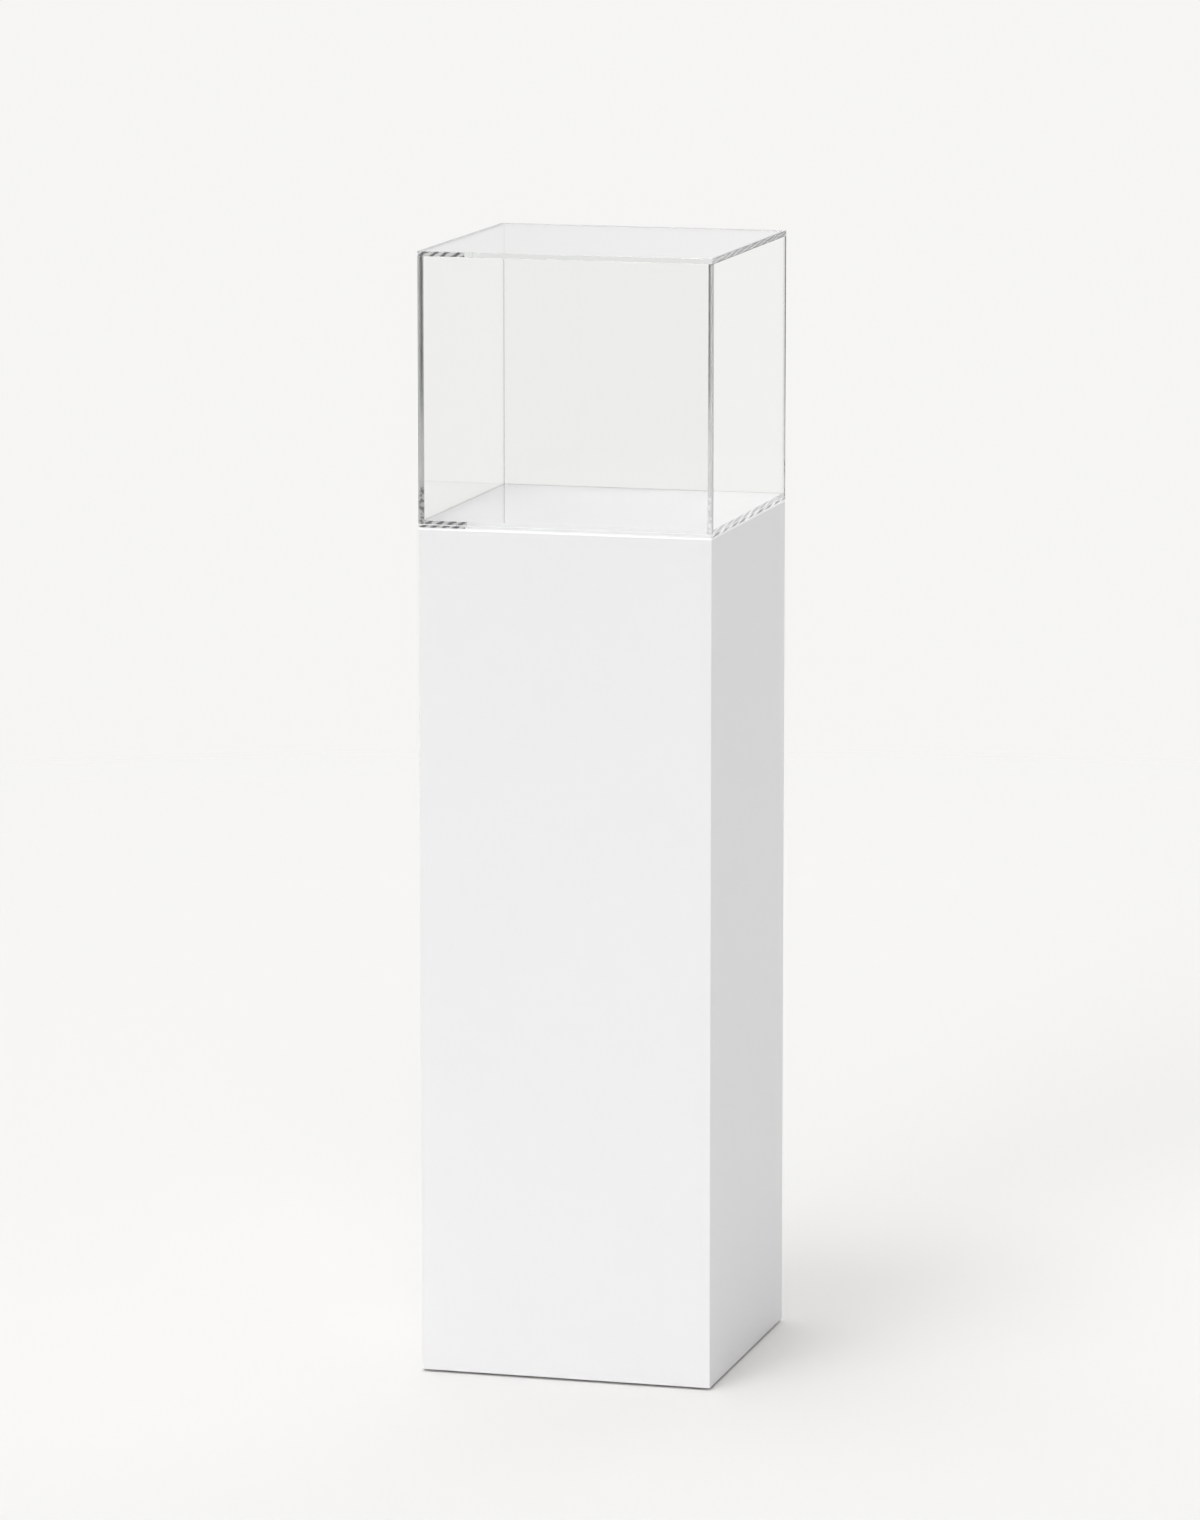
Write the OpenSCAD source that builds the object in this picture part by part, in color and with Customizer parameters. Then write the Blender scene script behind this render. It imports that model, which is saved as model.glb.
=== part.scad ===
// Pedestal display case: a white mitred plinth on four levelling feet. A clear base plate is
// bonded to its top, and a clear five-sided cover stands in a rebate round that plate and
// lifts off.
// +Z is up, the front faces -Y, and the origin is on the floor below the middle.

/* [Plinth] */
// Outside width and depth of the plinth and of the clear case
plinth_w = 350; // [280:5:500]
// Height of the side panels
panel_h = 1000; // [500:10:1200]
// Thickness of the carcass board
board_t = 18; // [16:1:22]
// Rounding of the top edge of the plinth
top_edge_r = 3; // [1:0.5:4]
// Rounding of the upright corners of the plinth
corner_r = 1; // [0.5:0.5:2]
// Height of the base board above the lower edge of the side panels
base_recess = 12; // [12:1:20]
// Gap between the base board and the side panels
board_gap = 0.5; // [0.3:0.1:0.8]

/* [Battens and cleats] */
// Width and depth of the upright corner battens
batten_w = 28; // [22:1:32]
// Depth of the cleats under the top panel
cleat_w = 20; // [16:1:24]
// Height of the cleats under the top panel
cleat_h = 24; // [18:1:26]
// Chamfer on the inner edges of the battens and cleats
timber_chamfer = 3; // [1:0.5:5]
// Gap between the end of a cleat and the batten beside it
cleat_gap = 1; // [0.5:0.5:3]

/* [Biscuits] */
// Length of a joint biscuit
biscuit_l = 53; // [45:1:57]
// Width of a joint biscuit, across the joint
biscuit_w = 19; // [15:1:20]
// Thickness of a joint biscuit
biscuit_t = 4; // [3:0.5:4.5]
// Length that is cut off the two pointed ends of a biscuit, taken together
biscuit_tip = 6; // [3:1:9]
// Clearance around a biscuit in its slot
biscuit_gap = 0.15; // [0.1:0.05:0.3]
// Distance from the outside faces to the middle of a biscuit
biscuit_inset = 12; // [11.5:0.5:12.5]
// Number of biscuits along each upright corner
corner_biscuit_count = 5; // [2:1:6]
// Distance from the ends of a panel to the middle of its first and last biscuit
biscuit_end = 80; // [60:5:120]
// Number of biscuits along each edge of the top panel
top_biscuit_count = 2; // [1:1:3]
// Distance between the biscuits along an edge of the top panel
top_biscuit_pitch = 76; // [60:1:80]

/* [Screws] */
// Diameter of the screw shanks
screw_d = 4.5; // [3.5:0.5:5]
// Diameter of the countersunk screw heads
screw_head_d = 9; // [7:0.5:10]
// Length of the screws that hold the base board to the battens
base_screw_l = 50; // [40:5:70]
// Length of the screws that hold the cleats to the top panel
cleat_screw_l = 36; // [30:1:38]
// Distance between the two screws of a cleat
cleat_screw_pitch = 140; // [80:5:150]
// Clearance around a screw in its hole
screw_gap = 0.1; // [0.05:0.05:0.2]

/* [Levelling feet] */
// Height of the shadow gap between the floor and the side panels
floor_gap = 3; // [2:0.5:6]
// Distance from the outside faces to the axis of a foot
foot_inset = 64; // [60:1:80]
// Diameter of the foot pad
pad_d = 30; // [24:1:40]
// Thickness of the foot pad
pad_h = 5; // [3:0.5:5]
// Chamfer round the underside of the foot pad
pad_chamfer = 0.8; // [0.4:0.1:1.5]
// Width of the hexagonal collar across its flats
collar_af = 17; // [13:1:19]
// Height of the hexagonal collar
collar_h = 5; // [3:0.5:5]
// Thickness of the pad under the end of the stem
pad_under = 2; // [1:0.5:2.5]
// Diameter of the hole through the insert, which the stem fills
stem_d = 8; // [6:1:10]
// Length of the stem above its collar
stem_l = 35; // [30:1:45]
// Chamfer at the upper end of the stem
stem_chamfer = 1; // [0.5:0.5:2]
// Clearance between the stem and the thread of the insert
thread_gap = 0.05; // [0.02:0.01:0.1]
// Outside diameter of the threaded insert in the base board
insert_d = 12; // [11.5:0.5:14]
// Length of the insert above its flange
insert_l = 15; // [12:1:16]
// Diameter of the insert's flange
flange_d = 20; // [17:1:24]
// Thickness of the insert's flange
flange_t = 1.2; // [0.8:0.1:1.5]
// Clearance between the insert and the base board
insert_gap = 0.05; // [0.02:0.01:0.1]

/* [Clear case] */
// Height of the clear case, from the plinth to the outside of its top
case_h = 320; // [200:5:400]
// Thickness of the clear walls and top
wall_t = 6; // [4:0.5:8]
// Thickness of the clear base plate
plate_t = 8; // [7:0.5:12]
// Depth of the rebate that the walls stand in
rebate_d = 5; // [2:0.5:5]
// Gap between the walls and the raised middle of the base plate
rebate_gap = 0.5; // [0.3:0.1:1]
// Rounding of the polished outer edges of the clear case
arris_r = 0.6; // [0.3:0.1:1]

/* [Hidden] */
$fn = 64;

lacquer = "#F0F0F1";
softwood = "#D9BE94";
beech = "#C9A36B";
zinc = "#B9BDC2";
nylon = "#2B2C2E";
acrylic = [0.93, 0.95, 0.95, 0.35];

// The sides and the corners, each a quarter turn on from the one before
SIDES = ["front", "right", "back", "left"];
CORNERS = ["front_left", "front_right", "back_right", "back_left"];

// Half widths, measured from the middle
half_w = plinth_w / 2;
inner_half = half_w - board_t;
board_half = inner_half - board_gap;
batten_middle = inner_half - batten_w / 2;
cleat_middle = inner_half - cleat_w / 2;
foot_at = half_w - foot_inset;
inner_wall = half_w - wall_t;
deck_half = inner_wall - rebate_gap;

// Heights above the floor
panel_bottom = floor_gap;
plinth_top = panel_bottom + panel_h;
board_bottom = panel_bottom + base_recess;
board_top = board_bottom + board_t;
timber_top = plinth_top - board_t;
cleat_bottom = timber_top - cleat_h;
collar_top = pad_h + collar_h;
stem_top = collar_top + stem_l;
deck_z = plinth_top + plate_t;
rebate_z = deck_z - rebate_d;
case_top_z = plinth_top + case_h;
wall_top = case_top_z - wall_t;

cleat_l = 2 * (inner_half - batten_w - cleat_gap);
corner_biscuit_pitch = (panel_h - 2 * biscuit_end) / (corner_biscuit_count - 1);
biscuit_chord = biscuit_l + biscuit_tip;
biscuit_r = (biscuit_chord * biscuit_chord + biscuit_w * biscuit_w) / (4 * biscuit_w);
screw_head_h = (screw_head_d - screw_d) / 2;
screw_recess_w = screw_d / 4;
stem_r = stem_d / 2 - thread_gap;
// How far a cut runs past the faces that it opens
overcut = 1;

// How many quarter turns a side lies from the front, or a corner from the front left.
function quarters(place) =
    [for (i = [0 : len(SIDES) - 1]) if (SIDES[i] == place || CORNERS[i] == place) i][0];

// Turns what stands at the front, or at the front left, to another side or corner.
module turned(place) {
    rotate([0, 0, 90 * quarters(place)]) children();
}

// Carries a section along X. The section is drawn with Y across and Z up.
module along_x(length) {
    rotate([90, 0, 90]) linear_extrude(height = length, center = true) children();
}

// A rectangle that stands on the X axis, with its upper corners rounded.
module round_topped(width, height, radius) {
    translate([-width / 2, 0]) square([width, height - radius]);
    translate([-width / 2 + radius, 0]) square([width - 2 * radius, height]);
    for (side = [-1, 1]) translate([side * (width / 2 - radius), height - radius]) circle(radius);
}

// A square about the origin, with its four corners rounded.
module round_cornered(width, radius) {
    square([width, width - 2 * radius], center = true);
    square([width - 2 * radius, width], center = true);
    for (x = [-1, 1], y = [-1, 1])
        translate([x * (width / 2 - radius), y * (width / 2 - radius)]) circle(radius);
}

// A square block between two heights, with rounded upright corners and top edges.
module eased_block(width, low, high, upright_r, top_r) {
    translate([0, 0, low])
        intersection() {
            linear_extrude(height = high - low) round_cornered(width, upright_r);
            along_x(width) round_topped(width, high - low, top_r);
            turned("right") along_x(width) round_topped(width, high - low, top_r);
        }
}

// The outside of the whole plinth.
module plinth_outline() {
    eased_block(plinth_w, panel_bottom, plinth_top, corner_r, top_edge_r);
}

// One joint biscuit, lying flat with its length along X. Two arcs make its outline, and its
// ends are cut square. Its slot is the same shape, grown by a clearance.
module biscuit(grow = 0) {
    linear_extrude(height = biscuit_t + 2 * grow, center = true)
        intersection() {
            square([biscuit_l + 2 * grow, biscuit_w + 2 * grow], center = true);
            translate([0, biscuit_r - biscuit_w / 2]) circle(biscuit_r + grow, $fn = 128);
            translate([0, biscuit_w / 2 - biscuit_r]) circle(biscuit_r + grow, $fn = 128);
        }
}

// The places of the biscuits in one upright mitre, each lying square across the joint.
module in_upright_mitre(corner) {
    for (i = [0 : corner_biscuit_count - 1])
        turned(corner)
            translate([
                -half_w + biscuit_inset,
                -half_w + biscuit_inset,
                panel_bottom + biscuit_end + i * corner_biscuit_pitch
            ])
                rotate([0, 90, 45]) children();
}

// The places of the biscuits in the mitre along one edge of the top panel.
module in_top_mitre(side) {
    for (i = [0 : top_biscuit_count - 1])
        turned(side)
            translate([
                (i - (top_biscuit_count - 1) / 2) * top_biscuit_pitch,
                -half_w + biscuit_inset,
                plinth_top - biscuit_inset
            ])
                rotate([45, 0, 0]) children();
}

// The outline of a countersunk screw that points up, grown by a clearance for its hole.
module screw_shape(length, grow = 0) {
    shank_r = screw_d / 2 + grow;
    rotate_extrude()
        polygon([
            [0, 0],
            [screw_head_d / 2 + grow, 0],
            [shank_r, screw_head_h],
            [shank_r, length - screw_d],
            [0, length + grow]
        ]);
}

// A countersunk screw with a cross recess in its head.
module screw(length) {
    difference() {
        screw_shape(length);
        for (turn = [0, 90])
            rotate([0, 0, turn])
                translate([-screw_d / 2, -screw_recess_w / 2, -overcut])
                    cube([screw_d, screw_recess_w, screw_head_h + overcut]);
    }
}

// The places of the screws that go up through the base board into the battens.
module at_base_screws() {
    for (corner = CORNERS)
        turned(corner) translate([-batten_middle, -batten_middle, board_bottom]) children();
}

// The places of the two screws that go up through one cleat into the top panel.
module at_cleat_screws(side) {
    for (end = [-1, 1])
        turned(side)
            translate([end * cleat_screw_pitch / 2, -cleat_middle, cleat_bottom]) children();
}

// The axis of one foot, at the height of the floor.
module at_foot(corner) {
    turned(corner) translate([-foot_at, -foot_at, 0]) children();
}

// A side panel: mitred at both upright edges and along its top.
module side_panel(side) {
    color(lacquer)
        turned(side)
            difference() {
                intersection() {
                    plinth_outline();
                    translate([0, 0, panel_bottom])
                        linear_extrude(height = panel_h)
                            polygon([
                                [-half_w, -half_w],
                                [half_w, -half_w],
                                [inner_half, -inner_half],
                                [-inner_half, -inner_half]
                            ]);
                    along_x(plinth_w)
                        polygon([
                            [-half_w, panel_bottom],
                            [-inner_half, panel_bottom],
                            [-inner_half, timber_top],
                            [-half_w, plinth_top]
                        ]);
                }
                in_upright_mitre("front_left") biscuit(biscuit_gap);
                in_upright_mitre("front_right") biscuit(biscuit_gap);
                in_top_mitre("front") biscuit(biscuit_gap);
            }
}

// The section of the top panel, narrower below because its edges are mitred.
module top_section() {
    polygon([
        [-inner_half, timber_top],
        [inner_half, timber_top],
        [half_w, plinth_top],
        [-half_w, plinth_top]
    ]);
}

// The top panel, let into the mitres of the side panels.
module top_panel() {
    color(lacquer)
        difference() {
            intersection() {
                plinth_outline();
                along_x(plinth_w) top_section();
                turned("right") along_x(plinth_w) top_section();
            }
            for (side = SIDES) {
                in_top_mitre(side) biscuit(biscuit_gap);
                at_cleat_screws(side) screw_shape(cleat_screw_l, screw_gap);
            }
        }
}

// The base board, recessed between the side panels, with holes for inserts and screws.
module base_board() {
    color(lacquer)
        difference() {
            translate([-board_half, -board_half, board_bottom])
                cube([2 * board_half, 2 * board_half, board_t]);
            at_base_screws() screw_shape(base_screw_l, screw_gap);
            for (corner = CORNERS)
                at_foot(corner)
                    translate([0, 0, board_bottom - overcut])
                        cylinder(h = board_t + 2 * overcut, d = insert_d + 2 * insert_gap);
        }
}

// An upright batten, glued into one corner of the plinth.
module corner_batten(corner) {
    color(softwood)
        difference() {
            turned(corner)
                translate([-inner_half, -inner_half, board_top])
                    linear_extrude(height = timber_top - board_top)
                        polygon([
                            [0, 0],
                            [batten_w, 0],
                            [batten_w, batten_w - timber_chamfer],
                            [batten_w - timber_chamfer, batten_w],
                            [0, batten_w]
                        ]);
            at_base_screws() screw_shape(base_screw_l, screw_gap);
        }
}

// A cleat, glued to one side panel and screwed up into the top panel.
module top_cleat(side) {
    color(softwood)
        difference() {
            turned(side)
                translate([0, -inner_half, cleat_bottom])
                    along_x(cleat_l)
                        polygon([
                            [0, 0],
                            [cleat_w - timber_chamfer, 0],
                            [cleat_w, timber_chamfer],
                            [cleat_w, cleat_h],
                            [0, cleat_h]
                        ]);
            at_cleat_screws(side) screw_shape(cleat_screw_l, screw_gap);
        }
}

// All the biscuits of the four upright mitres.
module corner_biscuits() {
    color(beech) for (corner = CORNERS) in_upright_mitre(corner) biscuit();
}

// All the biscuits round the top panel.
module top_biscuits() {
    color(beech) for (side = SIDES) in_top_mitre(side) biscuit();
}

// The four screws that hold the base board to the battens.
module base_screws() {
    color(zinc) at_base_screws() screw(base_screw_l);
}

// The screws that hold the four cleats to the top panel.
module cleat_screws() {
    color(zinc) for (side = SIDES) at_cleat_screws(side) screw(cleat_screw_l);
}

// The flanged threaded inserts in the base board, one over each foot.
module insert_nuts() {
    color(zinc)
        for (corner = CORNERS)
            at_foot(corner)
                translate([0, 0, board_bottom - flange_t])
                    difference() {
                        union() {
                            cylinder(h = flange_t, d = flange_d);
                            cylinder(h = flange_t + insert_l, d = insert_d);
                        }
                        translate([0, 0, -overcut])
                            cylinder(h = flange_t + insert_l + 2 * overcut, d = stem_d);
                    }
}

// A nylon pad with a hexagonal collar, moulded round the lower end of its stem.
module foot_pad(corner) {
    color(nylon)
        at_foot(corner)
            difference() {
                union() {
                    cylinder(h = pad_chamfer, d1 = pad_d - 2 * pad_chamfer, d2 = pad_d);
                    translate([0, 0, pad_chamfer]) cylinder(h = pad_h - pad_chamfer, d = pad_d);
                    translate([0, 0, pad_h])
                        cylinder(h = collar_h, d = collar_af / cos(30), $fn = 6);
                }
                translate([0, 0, pad_under])
                    cylinder(h = collar_top - pad_under + overcut, r = stem_r);
            }
}

// The threaded stem of one foot, which runs up through its insert.
module foot_stem(corner) {
    color(zinc)
        at_foot(corner)
            rotate_extrude()
                polygon([
                    [0, pad_under],
                    [stem_r, pad_under],
                    [stem_r, stem_top - stem_chamfer],
                    [stem_r - stem_chamfer, stem_top],
                    [0, stem_top]
                ]);
}

// The part of the clear case that lies between two corners of a box.
module case_piece(low, high) {
    color(acrylic)
        intersection() {
            eased_block(plinth_w, plinth_top, case_top_z, arris_r, arris_r);
            translate(low) cube(high - low);
        }
}

// The clear base plate: a thin rim for the walls to stand on, and a raised deck inside them.
module case_base() {
    case_piece([-half_w, -half_w, plinth_top], [half_w, half_w, rebate_z]);
    case_piece([-deck_half, -deck_half, plinth_top], [deck_half, deck_half, deck_z]);
}

// The front and back walls run the full width and cover the ends of the side walls.
module case_front() {
    case_piece([-half_w, -half_w, rebate_z], [half_w, -inner_wall, wall_top]);
}

module case_back() {
    case_piece([-half_w, inner_wall, rebate_z], [half_w, half_w, wall_top]);
}

module case_left() {
    case_piece([-half_w, -inner_wall, rebate_z], [-inner_wall, inner_wall, wall_top]);
}

module case_right() {
    case_piece([inner_wall, -inner_wall, rebate_z], [half_w, inner_wall, wall_top]);
}

// The clear top lies on the upper edges of all four walls.
module case_top() {
    case_piece([-half_w, -half_w, wall_top], [half_w, half_w, case_top_z]);
}

side_panel("front");  // front_panel
side_panel("right");  // right_panel
side_panel("back");  // back_panel
side_panel("left");  // left_panel
top_panel();
base_board();
corner_batten("front_left");  // batten_front_left
corner_batten("front_right");  // batten_front_right
corner_batten("back_right");  // batten_back_right
corner_batten("back_left");  // batten_back_left
top_cleat("front");  // cleat_front
top_cleat("right");  // cleat_right
top_cleat("back");  // cleat_back
top_cleat("left");  // cleat_left
corner_biscuits();
top_biscuits();
base_screws();
cleat_screws();
insert_nuts();
foot_pad("front_left");  // foot_pad_front_left
foot_pad("front_right");  // foot_pad_front_right
foot_pad("back_right");  // foot_pad_back_right
foot_pad("back_left");  // foot_pad_back_left
foot_stem("front_left");  // foot_stem_front_left
foot_stem("front_right");  // foot_stem_front_right
foot_stem("back_right");  // foot_stem_back_right
foot_stem("back_left");  // foot_stem_back_left
case_base();
case_front();
case_back();
case_left();
case_right();
case_top();
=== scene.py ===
"""The looks of a pedestal display case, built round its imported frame.

A white lacquered plinth carries a clear base plate and a clear cover. The plinth's lacquered
boards, the clear sheets and the four levelling feet are new surfaces, worked out with numpy
from the boxes of the frame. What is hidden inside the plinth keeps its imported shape.
"""

import logging
import math
from dataclasses import dataclass, replace
from enum import Enum
from typing import Any, Callable, Sequence

import bmesh
import bpy
import numpy as np
from mathutils import Matrix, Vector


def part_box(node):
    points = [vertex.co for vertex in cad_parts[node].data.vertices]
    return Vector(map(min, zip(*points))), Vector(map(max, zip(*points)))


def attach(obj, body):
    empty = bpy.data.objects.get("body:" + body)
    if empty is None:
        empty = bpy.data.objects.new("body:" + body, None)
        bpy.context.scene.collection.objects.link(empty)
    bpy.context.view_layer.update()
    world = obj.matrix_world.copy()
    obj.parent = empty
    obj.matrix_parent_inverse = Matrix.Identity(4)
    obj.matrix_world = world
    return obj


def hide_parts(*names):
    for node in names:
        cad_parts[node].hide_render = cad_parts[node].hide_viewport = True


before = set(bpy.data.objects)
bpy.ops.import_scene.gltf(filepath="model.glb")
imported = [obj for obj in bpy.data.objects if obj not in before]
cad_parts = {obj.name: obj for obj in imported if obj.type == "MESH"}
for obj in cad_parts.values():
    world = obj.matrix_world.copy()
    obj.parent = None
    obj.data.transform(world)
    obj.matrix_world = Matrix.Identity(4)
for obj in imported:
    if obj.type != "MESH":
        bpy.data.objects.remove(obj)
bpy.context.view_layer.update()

log = logging.getLogger("display_case")

MM = 0.001
MERGE_GAP = 1e-7
SHARP_ANGLE = math.radians(32)
# How much the larger faces round a point count for its normal, in per cent
AREA_WEIGHT = 100
# How far a normal may lie along an axis, as a cosine, for its face to count as square to it
# or as leaning to it
SQUARE = 0.99
LEANING = 0.1
# The depth of a screw thread and the width of its flats, as shares of the pitch
THREAD_DEPTH = 0.61
THREAD_FLAT = 0.12
# The gap in the rebate, between the cover's walls and the deck
REBATE_GAP = 0.5 * MM


class Side(Enum):
    """A side of the case, by its quarter turns from the front."""

    FRONT = 0
    RIGHT = 1
    BACK = 2
    LEFT = 3

    @property
    def word(self) -> str:
        """Returns the side's name, as the frame's nodes spell it."""
        return self.name.lower()


class Corner(Enum):
    """A corner of the case, as the frame's nodes and bodies spell it."""

    FRONT_LEFT = "front_left"
    FRONT_RIGHT = "front_right"
    BACK_RIGHT = "back_right"
    BACK_LEFT = "back_left"


# ---------------------------------------------------------------------------------------
# Surfaces
# ---------------------------------------------------------------------------------------


# A point of a profile: its reach, its height and its bend
Row = tuple[float, float, float]


@dataclass
class Surface:
    """A closed surface.

    Attributes:
        points: Its points, in metres.
        faces: The point numbers round each face.
    """

    points: np.ndarray
    faces: list[list[int]]

    def turned(self, quarters: int) -> "Surface":
        """Returns the surface after some quarter turns about the upright axis."""
        turn = np.linalg.matrix_power(np.array([[0, -1, 0], [1, 0, 0], [0, 0, 1]]), quarters)
        return Surface(self.points @ turn.T, self.faces)

    def moved(self, x: float, y: float) -> "Surface":
        """Returns the surface after a shift along the floor."""
        return Surface(self.points + np.array([x, y, 0.0]), self.faces)


@dataclass
class Profile:
    """A profile that is carried round an upright axis.

    Attributes:
        reach: How far each point lies from the axis, square to a side of the outline.
        height: The height of each point.
        bend: The radius with which each point goes round a corner of the outline.
    """

    reach: np.ndarray
    height: np.ndarray
    bend: np.ndarray

    @classmethod
    def through(cls, rows: Sequence[Row]) -> "Profile":
        """Returns the profile through rows of reach, height and bend."""
        reach, height, bend = np.array(rows, float).T
        return cls(reach, height, bend)


def arc(start: float, end: float, steps: int) -> np.ndarray:
    """Returns evenly spaced angles, given in degrees, in radians."""
    return np.radians(np.linspace(start, end, steps))


def eased(
    reach: float, height: float, radius: float, start: float, end: float, bend: float,
    steps: int = 7,
) -> list[Row]:
    """Gives the points of a rounded edge of a profile.

    A point is the centre of the rounding plus the radius times the cosine and sine of an
    angle, which runs evenly from its start to its end.

    Args:
        reach: How far the centre of the rounding lies from the axis.
        height: The height of the centre.
        radius: The radius of the rounding.
        start: The first angle in degrees, where 0 points away from the axis and 90 up.
        end: The last angle.
        bend: The radius with which the edge goes round a corner of the outline.
        steps: How many points the rounding has.

    Returns:
        Rows of reach, height and bend.
    """
    angle = arc(start, end, steps)
    rows = (reach + radius * np.cos(angle), height + radius * np.sin(angle), angle * 0 + bend)
    return list(zip(*rows))


def grid_faces(rows: int, columns: int, join_rows: bool, join_columns: bool) -> list[list[int]]:
    """Numbers the corners of each cell of a grid of points that runs row by row.

    Args:
        rows: How many rows of points there are.
        columns: How many points a row has.
        join_rows: Whether the last row joins the first.
        join_columns: Whether the last point of a row joins its first.

    Returns:
        Four point numbers a cell.
    """
    i = np.arange(rows if join_rows else rows - 1)[:, None]
    j = np.arange(columns if join_columns else columns - 1)[None, :]
    below, beside = (i + 1) % rows, (j + 1) % columns
    cell = (i * columns + j, i * columns + beside, below * columns + beside, below * columns + j)
    return np.stack([corner.ravel() for corner in cell], axis=1).tolist()


def ringed(points: np.ndarray) -> Surface:
    """Returns the surface through rows of points that are rings, closed by a face at each end."""
    rows, columns, _ = points.shape
    ends = [list(range(columns)), list(range((rows - 1) * columns, rows * columns))]
    return Surface(points.reshape(-1, 3), grid_faces(rows, columns, False, True) + ends)


def carried(
    profile: Profile, sides: int, steps: int, first: float = 0.0, last: float = 360.0,
    between: int = 0,
) -> np.ndarray:
    """Carries a profile round an outline of equal sides with rounded corners.

    A point is the centre of a corner's rounding plus the bend radius times the direction of
    an angle. The centre lies in the corner's own direction, at the reach less the bend,
    divided by the cosine of half the angle from one corner to the next. Where the bend is
    as large as the reach, the outline is a circle. Points between two corners divide the
    straight line from one to the next evenly.

    Args:
        profile: The profile.
        sides: How many sides the outline has. The middle of the first one faces the front.
        steps: How many points there are round one corner.
        first: Where the outline starts, in degrees from the middle of its first side.
        last: Where it ends.
        between: How many more points each side has between its corners.

    Returns:
        Points, by profile point, by place round the outline, by x, y and z.
    """
    half = 180.0 / sides
    corners, angles = [], []
    for corner in range(-1, sides):
        middle = half * (2 * corner + 1)
        low, high = max(middle - half, first), min(middle + half, last)
        if low < high:
            corners.append(np.full(steps, math.radians(middle)))
            angles.append(arc(low, high, steps))
    corner = np.concatenate(corners) - math.pi / 2
    angle = np.concatenate(angles) - math.pi / 2
    centre = ((profile.reach - profile.bend) / math.cos(math.radians(half)))[:, None]
    bend = profile.bend[:, None]
    x = centre * np.cos(corner) + bend * np.cos(angle)
    y = centre * np.sin(corner) + bend * np.sin(angle)
    points = np.stack([x, y, np.broadcast_to(profile.height[:, None], x.shape)], axis=2)
    if between:
        share = np.arange(1, between + 1)[None, :, None] / (between + 1)
        blocks = np.split(points, len(corners), axis=1)
        filled = []
        for block, following in zip(blocks, blocks[1:] + blocks[:1]):
            line = (1 - share) * block[:, -1:] + share * following[:, :1]
            filled += [block, line]
        points = np.concatenate(filled, axis=1)
    return points


def turned_block(profile: Profile, sides: int, steps: int, between: int = 0) -> Surface:
    """Carries a profile all the way round, and closes its first and last row with a face.

    Args:
        profile: The profile, from the middle of the underside to the middle of the top.
        sides: How many sides the outline has.
        steps: How many points there are round one corner.
        between: How many more points each side has between its corners.

    Returns:
        The closed surface.
    """
    return ringed(carried(profile, sides, steps, between=between))


def mitred_board(section: Profile, steps: int) -> Surface:
    """Carries a closed section along the front of a square, from one mitre to the other.

    Args:
        section: The outline of the board's section, as a loop.
        steps: How many points there are round one corner of the square, to its mitre.

    Returns:
        The closed surface, with a flat face in each mitre.
    """
    points = carried(section, len(Side), steps, -45.0, 45.0)
    rows, columns, _ = points.shape
    ends = [[row * columns + column for row in range(rows)] for column in (0, columns - 1)]
    return Surface(points.reshape(-1, 3), grid_faces(rows, columns, True, False) + ends)


def rounded_slab(low: np.ndarray, high: np.ndarray, radius: float, steps: int = 5) -> Surface:
    """Makes a flat slab with rounded edges and corners.

    A point is one corner of the slab, drawn in by the radius, plus the radius times a
    direction. The direction's two angles are the two parameters. Each quarter turn and the
    equator repeat an angle, and the slab's flat faces lie between those two copies.

    Args:
        low: The lowest corner.
        high: The highest corner.
        radius: The radius of the edges.
        steps: How many points there are across an edge.

    Returns:
        The closed surface.
    """
    lift = np.concatenate([arc(-90, 0, steps), arc(0, 90, steps)])[:, None]
    turn = np.concatenate([arc(90 * k, 90 * k + 90, steps) for k in range(4)])[None, :]
    quarter = np.repeat(np.arange(4), steps)[None, :]
    upper = np.repeat([False, True], steps)[:, None]
    sides = np.broadcast_arrays(np.isin(quarter, (0, 3)), np.isin(quarter, (0, 1)), upper)
    way = np.broadcast_arrays(
        np.cos(lift) * np.cos(turn), np.cos(lift) * np.sin(turn), np.sin(lift)
    )
    core = np.where(np.stack(sides, 2), high - radius, low + radius)
    return ringed(core + radius * np.stack(way, 2))


def upright(reach: float, low: float, high: float, bend: float, steps: int) -> list[Row]:
    """Returns evenly spaced rows of a profile on an upright face, without its two ends."""
    return [(reach, z, bend) for z in np.linspace(low, high, steps + 1)[1:-1]]


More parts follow.
